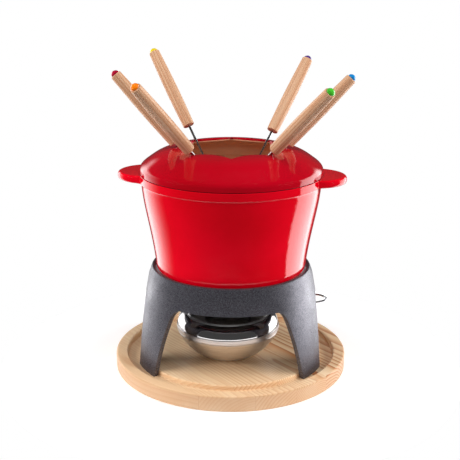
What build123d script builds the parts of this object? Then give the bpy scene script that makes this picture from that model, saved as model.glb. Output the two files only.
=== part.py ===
"""Fondue set: a cast-iron pot with its fork ring on a three-legged stand, a burner, six forks and a board.

Millimetres, +Z up. The origin is the centre of the board's underside, the front is -Y and the right is +X.
An azimuth is measured from the front, turning to the right: 0 is -Y, 90 is +X, 180 is +Y.
"""
import os
from math import asin, cos, degrees, radians, sin, tan

from build123d import *

# Serving board: a round of glued pine with a ring groove that the stand's feet drop into.
BOARD_R = 125.0
BOARD_H = 16.2
GROOVE_OUTER_R = 112.5
GROOVE_INNER_R = 96.0
GROOVE_FLOOR_Z = 9.0
DISC_TOP_Z = 14.4
BOARD_EDGE_ROUND = 2.0
GROOVE_LIP_ROUND = 1.5
GROOVE_FLOOR_ROUND = 0.6

# Stand: one cast ring on three legs, open in three arches between them.
STAND_FOOT_R = 102.3
STAND_MID_R = 97.0
STAND_MID_Z = 50.0
STAND_SHOULDER_R = 88.2
STAND_SHOULDER_Z = 102.0
STAND_TOP_R = 83.4
STAND_TOP_Z = 113.0
STAND_WALL = 5.5
STAND_LIP_R = 81.0
STAND_TURN = -1.5
LEG_COUNT = 3
LEG_AZIMUTH = 60.0
ARCH_TOP_Z = 86.0
ARCH_CORNER_R = 14.0
LUG_INNER_R = 50.0
LUG_WIDTH = 16.0
LUG_DEPTH = 8.0

# Pot: enamelled cast iron, wider at the mouth, standing on the three lugs inside the stand.
POT_BASE_Z = 97.0
POT_BASE_ROUND = 22.0
POT_WAIST_R = 80.3
POT_BELLY_R = 87.3
POT_BELLY_Z = 160.7
POT_NECK_R = 94.0
POT_NECK_Z = 203.0
POT_RIM_R = 96.0
POT_RIM_Z = 213.0
POT_WALL = 4.5
POT_FLOOR = 5.0
HANDLE_CENTRE_R = 88.0
HANDLE_REACH = 32.0
HANDLE_HALF_WIDTH = 31.0
HANDLE_BOTTOM_Z = 204.6
HANDLE_THICK = 8.0
HANDLE_TURN = -5.5
TONGUE_INNER_R = 91.0
TONGUE_OUTER_R = 93.2
TONGUE_H = 1.8
TONGUE_GAP = 0.25

# Fork ring: the domed cover whose star-shaped mouth holds the forks apart.
RING_R = 95.5
RING_EDGE_Z = 217.5
RING_INNER_R = 86.5
RING_WALL = 3.8
MOUTH_R = 47.0
NOTCH_R = 58.0
NOTCH_COUNT = 8
NOTCH_ROUND = 1.8

# Burner: a pressed bowl and a domed cover round a fuel cup with a turning damper.
BURNER_X = -3.0
BURNER_Y = -8.0
BOWL_BASE_R = 28.5
BOWL_MID_R = 44.5
BOWL_MID_Z = 26.5
BAND_R = 55.2
BAND_BOTTOM_Z = 43.4
BAND_TOP_Z = 48.4
SHEET = 0.8
COLLAR_R = 42.5
COLLAR_TOP_Z = 61.4
BEAD_R = 1.0
CUP_R = 27.2
CUP_FLANGE_R = 47.0
CUP_FLANGE_Z = 51.5
AIR_HOLE_R = 4.5
AIR_HOLE_CIRCLE_R = 38.5
AIR_HOLE_COUNT = 6
PAD_TOP_Z = 44.0
PAD_GAP = 0.2
DAMPER_MOUTH_R = 25.0
DAMPER_TURN = 15.0
HANDLE_AZIMUTH = 120.0
WIRE_R = 1.1
LOOP_START_R = 41.0
LOOP_BEND_R = 60.0
LOOP_WIDE_R = 80.0
LOOP_TIP_R = 127.0
LOOP_NARROW = 6.5
LOOP_HALF_WIDTH = 11.3
LOOP_BEND = 18.0
SLOT_CLEARANCE = 0.7

# Forks: a barrel of beech on a steel shaft with two prongs, and a coloured bead in its butt.
FORK_SHAFT_R = 1.4
FORK_STEEL_BELOW_HANDLE = 184.0
FORK_TANG = 30.0
FORK_FIT = 0.02
GRIP_LENGTH = 92.0
GRIP_LOWER_R = 6.1
GRIP_BELLY_R = 6.7
GRIP_BELLY_AT = 42.0
GRIP_BUTT_R = 5.7
GRIP_ROUND = 1.2
PRONG_SPREAD = 2.2
PRONG_INNER = 0.7
PRONG_THICK = 1.6
PRONG_CROTCH = 24.0
PRONG_TAPER = 7.0
PRONG_NECK = 34.0
BEAD_STUB_R = 3.0
BEAD_STUB = 4.0
BEAD_DOME_R = 4.4
BEAD_DOME_H = 4.2
REST_R = 55.7
REST_Z = 240.6

# Each fork: notch azimuth, tilt from upright, sideways lean, and how far its prongs reach past the notch.
FORKS = {
    "orange_fork": (-45, 43.5, -4.0, 179.0),
    "crimson_fork": (-90, 41.0, -2.5, 180.0),
    "yellow_fork": (-135, 35.5, 2.5, 168.3),
    "purple_fork": (135, 38.0, 1.0, 174.0),
    "blue_fork": (90, 43.0, -1.5, 180.0),
    "green_fork": (45, 46.5, 1.5, 178.0),
}


def turned(*lines):
    """A solid of revolution about Z from a closed outline given as radius and height."""
    outline = Curve() + list(lines)
    return revolve(make_face(Plane.XZ * outline), Axis.Z)


def ring(inner_r, outer_r, low_z, high_z):
    """A plain washer-shaped solid about Z."""
    low = Pos(0, 0, low_z)
    solid = low * Cylinder(outer_r, high_z - low_z, align=(Align.CENTER, Align.CENTER, Align.MIN))
    return solid - low * Cylinder(inner_r, high_z - low_z, align=(Align.CENTER, Align.CENTER, Align.MIN))


def disc(radius, low_z, high_z):
    """A plain round plate about Z."""
    return Pos(0, 0, low_z) * Cylinder(radius, high_z - low_z, align=(Align.CENTER, Align.CENTER, Align.MIN))


def towards(azimuth, radius, z):
    """The point at an azimuth and a radius from the origin."""
    return Vector(radius * sin(radians(azimuth)), -radius * cos(radians(azimuth)), z)


def turn_to(azimuth):
    """Turns something built along +X to an azimuth."""
    return Rot(0, 0, azimuth - 90)


def serving_board():
    """The round board, its rim standing a little above the inner disc."""
    outline = FilletPolyline(
        (0, 0),
        (BOARD_R, 0),
        (BOARD_R, BOARD_H),
        (GROOVE_OUTER_R, BOARD_H),
        (GROOVE_OUTER_R, GROOVE_FLOOR_Z),
        (GROOVE_INNER_R, GROOVE_FLOOR_Z),
        (GROOVE_INNER_R, DISC_TOP_Z),
        (0, DISC_TOP_Z),
        radius=[BOARD_EDGE_ROUND] * 2
        + [GROOVE_LIP_ROUND]
        + [GROOVE_FLOOR_ROUND] * 2
        + [GROOVE_LIP_ROUND],
    )
    return turned(outline, Line((0, DISC_TOP_Z), (0, 0)))


def stand_ring():
    """The stand's cast wall before the arches are cut: flared, with a rounded lip."""
    outer = Spline(
        (STAND_FOOT_R, GROOVE_FLOOR_Z),
        (STAND_MID_R, STAND_MID_Z),
        (STAND_SHOULDER_R, STAND_SHOULDER_Z),
    )
    lip = Spline(
        (STAND_SHOULDER_R, STAND_SHOULDER_Z),
        (STAND_TOP_R + 2.2, STAND_TOP_Z - 3),
        (STAND_TOP_R, STAND_TOP_Z),
        tangents=[outer % 1, (-1, 0)],
    )
    inner_lip = Polyline(
        (STAND_TOP_R, STAND_TOP_Z),
        (STAND_LIP_R + 0.8, STAND_TOP_Z),
        (STAND_LIP_R, STAND_TOP_Z - 1.5),
        (STAND_LIP_R, STAND_TOP_Z - 5),
        (STAND_SHOULDER_R - STAND_WALL, STAND_SHOULDER_Z),
    )
    inner = Spline(
        (STAND_SHOULDER_R - STAND_WALL, STAND_SHOULDER_Z),
        (STAND_MID_R - STAND_WALL, STAND_MID_Z),
        (STAND_FOOT_R - STAND_WALL, GROOVE_FLOOR_Z),
    )
    foot = Line((STAND_FOOT_R - STAND_WALL, GROOVE_FLOOR_Z), (STAND_FOOT_R, GROOVE_FLOOR_Z))
    return turned(outer, lip, inner_lip, inner, foot)


def arch_side(side):
    """Cuts one half of an arch: a prism at 45 degrees to the arch's middle, ending on a leg's edge."""
    inside = -75.0
    top_at = -19.5
    edge = [(top_at + ARCH_CORNER_R * 0.9, ARCH_TOP_Z - ARCH_CORNER_R), (-1.7, 55.0), (3.8, 32.0), (7.8, 5.0)]
    corner = Spline((top_at, ARCH_TOP_Z), edge[0], tangents=[(1, 0), (0.24, -1)])
    leg_edge = Spline(*edge)
    rest = Polyline(edge[-1], (inside, edge[-1][1]), (inside, ARCH_TOP_Z), (top_at, ARCH_TOP_Z))
    face = make_face(Curve() + [corner, leg_edge, rest])
    upright = Plane(origin=(38, 0, 0), x_dir=(0, 1, 0), z_dir=(1, 0, 0))
    prism = extrude(upright * face, amount=90)
    if side < 0:
        prism = mirror(prism, about=Plane.XZ)
    return Rot(0, 0, side * 45) * prism


def lug():
    """A bracket inside a leg that carries the pot's base."""
    outer_r = STAND_SHOULDER_R - STAND_WALL + 2
    outline = Polyline(
        (LUG_INNER_R, POT_BASE_Z),
        (outer_r, POT_BASE_Z),
        (outer_r + 2, POT_BASE_Z - 3 * LUG_DEPTH),
        (LUG_INNER_R, POT_BASE_Z - LUG_DEPTH * 0.7),
        close=True,
    )
    return extrude(make_face(Plane.XZ * outline), amount=LUG_WIDTH / 2, both=True)


def stand():
    """The cast stand: the ring, its three arches and the three lugs for the pot."""
    body = stand_ring()
    for leg in range(LEG_COUNT):
        arch = turn_to(leg * 360 / LEG_COUNT + STAND_TURN)
        body -= arch * arch_side(1)
        body -= arch * arch_side(-1)
    for leg in range(LEG_COUNT):
        body += turn_to(leg * 360 / LEG_COUNT + LEG_AZIMUTH + STAND_TURN) * lug()
    return body


def pot_handle():
    """A half-oval tab that grows out of the rim, its edges rounded."""
    tab = extrude(Pos(HANDLE_CENTRE_R, 0) * Ellipse(HANDLE_REACH, HANDLE_HALF_WIDTH), amount=HANDLE_THICK)
    tab = fillet(tab.edges(), radius=HANDLE_THICK * 0.4)
    return Pos(0, 0, HANDLE_BOTTOM_Z) * tab


def pot_outside():
    """The pot's outer form as a full solid: a flat base, a flared wall and a thick rim."""
    waist_z = POT_BASE_Z + POT_BASE_ROUND
    base_r = POT_WAIST_R - POT_BASE_ROUND
    wall = Spline(
        (POT_WAIST_R, waist_z),
        (POT_BELLY_R, POT_BELLY_Z),
        (POT_NECK_R, POT_NECK_Z),
        tangents=[(0.12, 1), (0.06, 1)],
    )
    rim = FilletPolyline(
        (POT_NECK_R, POT_NECK_Z),
        (POT_RIM_R, POT_NECK_Z + 1.5),
        (POT_RIM_R, POT_RIM_Z),
        (0, POT_RIM_Z),
        radius=[1.0, 1.2],
    )
    base = Line((0, POT_BASE_Z), (base_r, POT_BASE_Z))
    corner = CenterArc((base_r, waist_z), POT_BASE_ROUND, -90, 90)
    axis = Line((0, POT_RIM_Z), (0, POT_BASE_Z))
    return turned(base, corner, wall, rim, axis)


def pot_inside():
    """The hollow of the pot, open past the rim."""
    floor_z = POT_BASE_Z + POT_FLOOR
    corner_r = POT_BASE_ROUND - POT_WALL
    waist_r = POT_WAIST_R - POT_WALL
    wall = Spline(
        (waist_r, floor_z + corner_r),
        (POT_BELLY_R - POT_WALL, POT_BELLY_Z),
        (POT_NECK_R - POT_WALL, POT_NECK_Z),
        tangents=[(0.12, 1), (0.03, 1)],
    )
    mouth = Polyline((POT_NECK_R - POT_WALL, POT_NECK_Z), (POT_NECK_R - POT_WALL, POT_RIM_Z + 10), (0, POT_RIM_Z + 10))
    floor = Line((0, floor_z), (waist_r - corner_r, floor_z))
    corner = CenterArc((waist_r - corner_r, floor_z + corner_r), corner_r, -90, 90)
    axis = Line((0, POT_RIM_Z + 10), (0, floor_z))
    return turned(floor, corner, wall, mouth, axis)


def pot():
    """The pot with its two handles and the low tongue that centres the fork ring."""
    body = pot_outside()
    for side in range(2):
        body += Rot(0, 0, HANDLE_TURN + side * 180) * pot_handle()
    body -= pot_inside()
    return body + ring(TONGUE_INNER_R, TONGUE_OUTER_R, POT_RIM_Z, POT_RIM_Z + TONGUE_H)


def star_mouth(low_z, high_z):
    """The mouth as a prism: an eight-pointed star whose sides are arcs bulging inwards."""
    half_step = radians(180 / NOTCH_COUNT)
    sides = []
    for step in range(NOTCH_COUNT):
        middle = radians((step + 0.5) * 360 / NOTCH_COUNT)
        start = (NOTCH_R * cos(middle - half_step), NOTCH_R * sin(middle - half_step))
        crest = (MOUTH_R * cos(middle), MOUTH_R * sin(middle))
        end = (NOTCH_R * cos(middle + half_step), NOTCH_R * sin(middle + half_step))
        sides.append(ThreePointArc(start, crest, end))
    star = extrude(make_face(Curve() + sides), amount=high_z - low_z)
    star = fillet(star.edges().filter_by(Axis.Z), radius=NOTCH_ROUND)
    return Pos(0, 0, low_z) * star


def fork_ring():
    """The domed ring that rests on the pot's rim."""
    outer = Spline(
        (RING_R, RING_EDGE_Z),
        (88.0, 226.3),
        (80.7, 231.4),
        (70.0, 236.4),
        (57.0, 239.2),
        (MOUTH_R - 4, 240.6),
        tangents=[(-0.1, 1), (-1, 0.05)],
    )
    inner = Spline(
        (MOUTH_R - 4, 240.6 - RING_WALL),
        (57.0, 239.2 - RING_WALL),
        (69.0, 236.2 - RING_WALL),
        (78.5, 231.2 - RING_WALL),
        (RING_INNER_R, 219.0),
        tangents=[(1, -0.05), (0.1, -1)],
    )
    edge = FilletPolyline(
        (RING_INNER_R, 219.0),
        (RING_INNER_R, POT_RIM_Z),
        (RING_R, POT_RIM_Z),
        (RING_R, RING_EDGE_Z),
        radius=[0.8, 1.2],
    )
    close = Line(inner @ 0, outer @ 1)
    body = turned(outer, close, inner, edge)
    body -= star_mouth(RING_EDGE_Z, REST_Z + 10)
    groove = ring(
        TONGUE_INNER_R - TONGUE_GAP,
        TONGUE_OUTER_R + TONGUE_GAP,
        POT_RIM_Z - 1,
        POT_RIM_Z + TONGUE_H + TONGUE_GAP,
    )
    return body - groove


def at_burner(solid):
    """Moves a burner part from the axis to where the burner stands on the board."""
    return Pos(BURNER_X, BURNER_Y, 0) * solid


def burner_bowl():
    """The pressed lower bowl, its rim folded up into a band round the cover."""
    outside = ThreePointArc((BOWL_BASE_R, DISC_TOP_Z), (BOWL_MID_R, BOWL_MID_Z), (BAND_R, BAND_BOTTOM_Z))
    band = Polyline((BAND_R, BAND_BOTTOM_Z), (BAND_R, BAND_TOP_Z), (BAND_R - SHEET, BAND_TOP_Z),
                    (BAND_R - SHEET, BAND_BOTTOM_Z + SHEET))
    inside = ThreePointArc(
        (BAND_R - SHEET, BAND_BOTTOM_Z + SHEET),
        (BOWL_MID_R - SHEET, BOWL_MID_Z + SHEET),
        (BOWL_BASE_R - SHEET, DISC_TOP_Z + SHEET),
    )
    floor = Polyline((BOWL_BASE_R - SHEET, DISC_TOP_Z + SHEET), (0, DISC_TOP_Z + SHEET), (0, DISC_TOP_Z),
                     (BOWL_BASE_R, DISC_TOP_Z))
    return at_burner(turned(outside, band, inside, floor))


def loop_slot():
    """The slot in the cover that lets the damper's handle swing."""
    reach = DAMPER_TURN + degrees(asin((LOOP_NARROW + WIRE_R + SLOT_CLEARANCE) / (BAND_R - 3)))
    low = damper_top_z() - SLOT_CLEARANCE + 0.3
    high = damper_top_z() + 2 * WIRE_R + SLOT_CLEARANCE
    middle = HANDLE_AZIMUTH - 90
    wedge = make_face(Polyline((0, 0), (90, -90 * tan(radians(reach))), (90, 90 * tan(radians(reach))), close=True))
    return Rot(0, 0, middle) * Pos(0, 0, low) * (extrude(wedge, amount=high - low) - Cylinder(46, 200))


def burner_cover():
    """The polished dome from the band up to the open collar, with a beaded edge."""
    skirt_r = BAND_R - SHEET - 0.05
    width = skirt_r - COLLAR_R
    height = COLLAR_TOP_Z - BAND_TOP_Z
    dome = EllipticalCenterArc((COLLAR_R, BAND_TOP_Z), width, height, 0, arc_size=90)
    under = EllipticalCenterArc((COLLAR_R, BAND_TOP_Z), width - SHEET, height - SHEET, 0, arc_size=90)
    skirt = Polyline((skirt_r - SHEET, BAND_TOP_Z), (skirt_r - SHEET, BAND_BOTTOM_Z + 1.6),
                     (skirt_r, BAND_BOTTOM_Z + 1.6), (skirt_r, BAND_TOP_Z))
    edge = Line((COLLAR_R, COLLAR_TOP_Z), (COLLAR_R, COLLAR_TOP_Z - SHEET))
    shell = turned(skirt, dome, edge, under)
    bead = Pos(0, 0, COLLAR_TOP_Z - BEAD_R) * Torus(COLLAR_R - BEAD_R * 0.5, BEAD_R)
    return at_burner(shell + bead - loop_slot())


def air_holes(turn):
    """The ring of air holes as cutters, turned about the burner's axis."""
    holes = []
    for step in range(AIR_HOLE_COUNT):
        spot = Rot(0, 0, turn + step * 360 / AIR_HOLE_COUNT) * Pos(AIR_HOLE_CIRCLE_R, 0, CUP_FLANGE_Z)
        holes.append(spot * Cylinder(AIR_HOLE_R, 10))
    return holes


def fuel_cup():
    """The inner cup that holds the pad, with a wide flange pierced for air."""
    floor_z = DISC_TOP_Z + SHEET
    body = disc(CUP_R, floor_z, CUP_FLANGE_Z + SHEET) - disc(CUP_R - SHEET, floor_z + SHEET, CUP_FLANGE_Z + 1)
    body += ring(CUP_R - SHEET, CUP_FLANGE_R, CUP_FLANGE_Z, CUP_FLANGE_Z + SHEET)
    return at_burner(body - air_holes(0))


def absorbent_pad():
    """The wadding that soaks up the fuel."""
    floor_z = DISC_TOP_Z + 2 * SHEET
    return at_burner(disc(CUP_R - SHEET - PAD_GAP, floor_z, PAD_TOP_Z))


def gauze_disc():
    """The wire gauze that holds the pad down."""
    return at_burner(disc(CUP_R - SHEET - PAD_GAP, PAD_TOP_Z, PAD_TOP_Z + SHEET))


def damper_top_z():
    """The top of the damper plate, which lies on the cup's flange."""
    return CUP_FLANGE_Z + 2 * SHEET


def damper_plate():
    """The turning plate: at one stop its holes meet the flange's, at the other it covers them."""
    body = ring(DAMPER_MOUTH_R, CUP_FLANGE_R, damper_top_z() - SHEET, damper_top_z())
    return at_burner(body - air_holes(-DAMPER_TURN))


def damper_handle():
    """The wire loop, welded to the plate, that reaches out between two legs of the stand."""
    path = FilletPolyline(
        (LOOP_START_R, LOOP_NARROW),
        (LOOP_BEND_R, LOOP_NARROW),
        (LOOP_WIDE_R, LOOP_HALF_WIDTH),
        (LOOP_TIP_R, LOOP_HALF_WIDTH),
        (LOOP_TIP_R, -LOOP_HALF_WIDTH),
        (LOOP_WIDE_R, -LOOP_HALF_WIDTH),
        (LOOP_BEND_R, -LOOP_NARROW),
        (LOOP_START_R, -LOOP_NARROW),
        radius=[LOOP_BEND, LOOP_BEND, LOOP_HALF_WIDTH - 0.1, LOOP_HALF_WIDTH - 0.1, LOOP_BEND, LOOP_BEND],
    )
    section = Plane(origin=path @ 0, z_dir=path % 0) * Circle(WIRE_R)
    loop = Pos(0, 0, damper_top_z() + WIRE_R) * sweep(section, path=path)
    return at_burner(turn_to(HANDLE_AZIMUTH) * loop)


def fork_plane(azimuth, tilt, lean, reach):
    """A fork's own frame: its origin at the prong tips, Z up the shaft, X in the plane it leans in."""
    heading = azimuth + lean
    along = Vector(
        sin(radians(tilt)) * sin(radians(heading)),
        -sin(radians(tilt)) * cos(radians(heading)),
        cos(radians(tilt)),
    )
    across = Vector(cos(radians(heading)), sin(radians(heading)), 0)
    tips = towards(azimuth, REST_R, REST_Z) - along * reach
    return Plane(origin=tips, x_dir=across.cross(along), z_dir=along)


def fork_steel():
    """The shaft with its flattened head and two pointed prongs, and the tang that the grip hides."""
    right = [
        (FORK_SHAFT_R, PRONG_NECK + 4),
        (PRONG_SPREAD, PRONG_CROTCH + 4),
        (PRONG_SPREAD, PRONG_TAPER),
        ((PRONG_SPREAD + PRONG_INNER) / 2, 0),
        (PRONG_INNER, PRONG_TAPER),
        (PRONG_INNER, PRONG_CROTCH),
    ]
    left = [(-x, z) for x, z in reversed(right)]
    outline = Polyline(*right, *left, close=True)
    head = extrude(make_face(Plane.XZ * outline), amount=PRONG_THICK / 2, both=True)
    top = FORK_STEEL_BELOW_HANDLE + FORK_TANG
    return head + disc(FORK_SHAFT_R, PRONG_NECK, top)


def fork_grip():
    """The turned beech grip, bored for the tang and recessed for the bead."""
    side = Spline((GRIP_LOWER_R, 0), (GRIP_BELLY_R, GRIP_BELLY_AT), (GRIP_BUTT_R, GRIP_LENGTH))
    ends = Polyline((GRIP_BUTT_R, GRIP_LENGTH), (0, GRIP_LENGTH), (0, 0), (GRIP_LOWER_R, 0))
    grip = turned(side, ends)
    grip = fillet(grip.edges().filter_by(GeomType.CIRCLE), radius=GRIP_ROUND)
    grip -= disc(FORK_SHAFT_R + FORK_FIT, -1, FORK_TANG + FORK_FIT)
    grip -= disc(BEAD_STUB_R + FORK_FIT, GRIP_LENGTH - BEAD_STUB - FORK_FIT, GRIP_LENGTH + 1)
    return Pos(0, 0, FORK_STEEL_BELOW_HANDLE) * grip


def fork_bead():
    """The coloured bead: a stub glued into the grip under a domed cap."""
    shoulder = (BEAD_DOME_R * cos(radians(45)), BEAD_DOME_H * sin(radians(45)))
    dome = Spline((BEAD_DOME_R, 0), shoulder, (0, BEAD_DOME_H), tangents=[(0, 1), (-1, 0)])
    rest = Polyline((0, BEAD_DOME_H), (0, -BEAD_STUB), (BEAD_STUB_R, -BEAD_STUB), (BEAD_STUB_R, 0), (BEAD_DOME_R, 0))
    return Pos(0, 0, FORK_STEEL_BELOW_HANDLE + GRIP_LENGTH) * turned(dome, rest)


def forks():
    """Every fork's three pieces, each placed in its notch."""
    pieces = {}
    for name, (azimuth, tilt, lean, reach) in FORKS.items():
        place = fork_plane(azimuth, tilt, lean, reach)
        pieces[name + "_steel"] = place * fork_steel()
        pieces[name + "_grip"] = place * fork_grip()
        pieces[name + "_bead"] = place * fork_bead()
    return pieces


def build():
    """All the pieces by name."""
    pieces = {
        "serving_board": serving_board(),
        "stand": stand(),
        "pot": pot(),
        "fork_ring": fork_ring(),
        "burner_bowl": burner_bowl(),
        "burner_cover": burner_cover(),
        "fuel_cup": fuel_cup(),
        "absorbent_pad": absorbent_pad(),
        "gauze_disc": gauze_disc(),
        "damper_plate": damper_plate(),
        "damper_handle": damper_handle(),
    }
    pieces.update(forks())
    return pieces


os.makedirs("parts", exist_ok=True)
for node, solid in build().items():
    export_step(solid, f"parts/{node}.step")
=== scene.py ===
import math
import random

import bmesh
import bpy
import numpy as np
from mathutils import Matrix, Vector, noise


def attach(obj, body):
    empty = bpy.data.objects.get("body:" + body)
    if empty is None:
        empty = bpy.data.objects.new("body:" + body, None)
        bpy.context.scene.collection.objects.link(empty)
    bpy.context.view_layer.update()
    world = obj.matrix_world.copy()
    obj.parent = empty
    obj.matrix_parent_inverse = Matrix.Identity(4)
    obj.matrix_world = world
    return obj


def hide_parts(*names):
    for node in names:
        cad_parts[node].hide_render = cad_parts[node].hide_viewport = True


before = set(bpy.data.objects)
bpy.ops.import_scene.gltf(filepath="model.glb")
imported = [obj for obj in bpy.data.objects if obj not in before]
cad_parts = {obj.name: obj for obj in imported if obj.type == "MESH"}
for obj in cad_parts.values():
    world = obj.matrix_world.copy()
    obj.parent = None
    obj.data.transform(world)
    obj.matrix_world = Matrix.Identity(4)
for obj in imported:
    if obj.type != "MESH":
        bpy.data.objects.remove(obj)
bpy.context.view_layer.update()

MM = 0.001
AROUND = 144
WHITE = (1, 1, 1, 1)

# Meshes: points closer than WELD and edges shorter than SLIVER, in metres, are merged.
WELD = 2e-6
SLIVER = 1e-7
BEVEL_FROM = math.radians(42)

# Board, as in part.py, in millimetres like every size below.
BOARD_R = 124.96
BOARD_H = 16.2
GROOVE = (96.0, 112.5)
GROOVE_FLOOR = 9.0
DISC_TOP = 14.4

# The staves of its pine, in metres and radians.
STAVE = 0.043
STAVE_SHIFT = 0.013
STAVES_TURN = math.radians(52)

# Stand: its outer wall as (radius, z), and an arch's edge as (sideways from EDGE_AZIMUTH, z).
STAND_TURN = -1.5
SHOULDER_Z = 102.0
STAND_TOP = 113.0
STAND_OUTER = [(102.3, GROOVE_FLOOR), (97.0, 50.0), (88.2, SHOULDER_Z)]
STAND_WALL = 5.5
THIRDS = (0, 120, 240)
LEG_MIDDLE = 60.0
EDGE_AZIMUTH = 45
ARCH_TOP = 86.0
ARCH_CORNER = [(-19.5, 86.0), (-6.9, 72.0)]
ARCH_LEG = [(-6.9, 72.0), (-1.7, 55.0), (3.8, 32.0), (7.8, 9.0)]
EDGE_ROUND = 1.3
LUG_OUTLINE = [(50, 92), (50, 97), (86, 97), (88, 73), (51, 91), (50, 92)]
LUG_MIDDLE = (70, 90)
LUG_SECTIONS = [(-8, 0.96), (-7.6, 0.99), (-7, 1.0), (7, 1.0), (7.6, 0.99), (8, 0.96)]

# Pot and ring.
POT_BASE = 97.0
POT_FLAT_R = 58.3
POT_ROUND = 22.0
POT_FLOOR = 102.0
BORE_ROUND = 17.5
BORE_R = 89.5
NECK = (94.0, 203.0)
RIM_Z = 213.0
RIM_R = 96.0
TAB_CENTRE = 88.0
TAB_AXES = (32.0, 31.0)
TAB_TURNS = (-5.5, 174.5)
TAB_FLARE = 1.1
DOME = [(95.5, 217.5), (88.0, 226.3), (80.7, 231.4), (70.0, 236.4), (57.0, 239.2), (43.0, 240.6)]
VAULT = [(86.5, 219.0), (78.5, 227.4), (69.0, 232.4), (57.0, 235.4), (43.0, 236.8)]
NOTCH_STEP = 45
MOUTH_LOBE = (87.7, 40.7)
NOTCH_TIP = (54.81, 1.8)
LIP_ROUND = 1.6

# Burner and damper.
BURNER_PLACE = Matrix.Translation(Vector((-3.0, -8.0, 0)) * MM)
SHEET = 0.8
SKIRT_R = 54.35
COLLAR_R = 42.5
COVER_LOW = 48.4
COVER_HIGH = 61.4
SLOT_AZIMUTH = 120.0
SLOT_HALF = 24.0
SLOT_Z = (52.7, 56.0)
# Two fine beads side by side round the cover's opening, from COLLAR_R and COVER_HIGH.
COLLAR_BEADS = [
    (3.0, -1.15),
    (2.6, -0.6),
    (2.1, -0.45),
    (1.6, -0.7),
    (1.3, -0.95),
    (0.9, -0.45),
    (0.4, -0.05),
    (-0.2, 0.0),
    (-0.9, -0.3),
    (-1.3, -0.9),
    (-1.3, -1.5),
    (-0.9, -2.2),
]
GAUZE_Z = 44.4
PAD = (26.2, 16.0, 44.0)
WIRE_R = 1.1
WIRE_Z = 54.2

# Forks, as in part.py: notch azimuth, tilt, lean and reach.
FORKS = {
    "orange": (-45, 43.5, -4.0, 179.0),
    "crimson": (-90, 41.0, -2.5, 180.0),
    "yellow": (-135, 35.5, 2.5, 168.3),
    "purple": (135, 38.0, 1.0, 174.0),
    "blue": (90, 43.0, -1.5, 180.0),
    "green": (45, 46.5, 1.5, 178.0),
}
REST_POINT = (55.7, 240.6)
SHAFT_R = 1.4
GRIP_FROM = 184.0
GRIP_LENGTH = 92.0
# A fork's flat bars as sections of (height, left, right, half-thickness).
PRONG = [
    (0.0, 1.35, 1.55, 0.12),
    (1.2, 1.2, 1.75, 0.35),
    (3.6, 0.95, 2.0, 0.6),
    (7.0, 0.7, 2.2, 0.78),
    (16.0, 0.7, 2.2, 0.8),
    (26.0, 0.7, 2.2, 0.8),
]
HEAD = [
    (23.6, -2.2, 2.2, 0.5),
    (24.2, -2.2, 2.2, 0.8),
    (28.0, -2.2, 2.2, 0.8),
    (33.0, -1.8, 1.8, 0.8),
    (37.5, -1.4, 1.4, 0.8),
]
BEAD_COLOURS = {
    "orange": (250, 128, 10),
    "crimson": (165, 5, 45),
    "yellow": (240, 214, 20),
    "purple": (84, 52, 130),
    "blue": (20, 135, 205),
    "green": (70, 190, 45),
}


# ---------------------------------------------------------------- outlines


def spline(points, steps=8, start=None, end=None):
    """A cubic spline through 2-D points, over their spacing. start and end are its directions there."""
    points = np.array(points, float)
    count = len(points)
    gaps = np.hypot(*np.diff(points, axis=0).T)
    slopes = np.diff(points, axis=0) / gaps[:, None]
    left, right = np.zeros((count, count)), np.zeros((count, 2))
    left[0, 0] = left[-1, -1] = 1
    for i in range(1, count - 1):
        left[i, i - 1 : i + 2] = gaps[i - 1], 2 * (gaps[i - 1] + gaps[i]), gaps[i]
        right[i] = 6 * (slopes[i] - slopes[i - 1])
    if start is not None:
        left[0, :2] = 2 * gaps[0], gaps[0]
        right[0] = 6 * (slopes[0] - np.array(start) / np.hypot(*start))
    if end is not None:
        left[-1, -2:] = gaps[-1], 2 * gaps[-1]
        right[-1] = 6 * (np.array(end) / np.hypot(*end) - slopes[-1])
    bends = np.linalg.solve(left, right)
    found = [points[0]]
    for i in range(count - 1):
        for k in range(1, steps + 1):
            u = k / steps
            v = 1 - u
            sag = (v**3 - v) * bends[i] + (u**3 - u) * bends[i + 1]
            found.append(v * points[i] + u * points[i + 1] + gaps[i] ** 2 / 6 * sag)
    return [tuple(point) for point in found]


def rounded(points, radius, steps=4):
    """A polyline with its corners rounded; radius is one number, or one for each inner corner."""
    radii = [radius] * (len(points) - 2) if np.isscalar(radius) else radius
    found = [points[0]]
    for before, corner, after, r in zip(points, points[1:], points[2:], radii):
        corner = np.array(corner, float)
        back, ahead = np.array(before) - corner, np.array(after) - corner
        back_length, ahead_length = np.hypot(*back), np.hypot(*ahead)
        half = math.acos(max(-1, min(1, back @ ahead / (back_length * ahead_length)))) / 2
        cut = min(r / math.tan(half), 0.49 * back_length, 0.49 * ahead_length)
        first, last = corner + back / back_length * cut, corner + ahead / ahead_length * cut
        for k in range(steps + 1):
            t = k / steps
            found.append(tuple((1 - t) ** 2 * first + 2 * t * (1 - t) * corner + t * t * last))
    return found + [points[-1]]


def arc(centre, radius, start, end, steps=8):
    """Points of a circle from one angle to another, in degrees; radius may be a pair for an ellipse."""
    rx, rz = (radius, radius) if np.isscalar(radius) else radius
    turns = np.radians(np.linspace(start, end, steps + 1))
    return [(centre[0] + rx * math.cos(t), centre[1] + rz * math.sin(t)) for t in turns]


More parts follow.
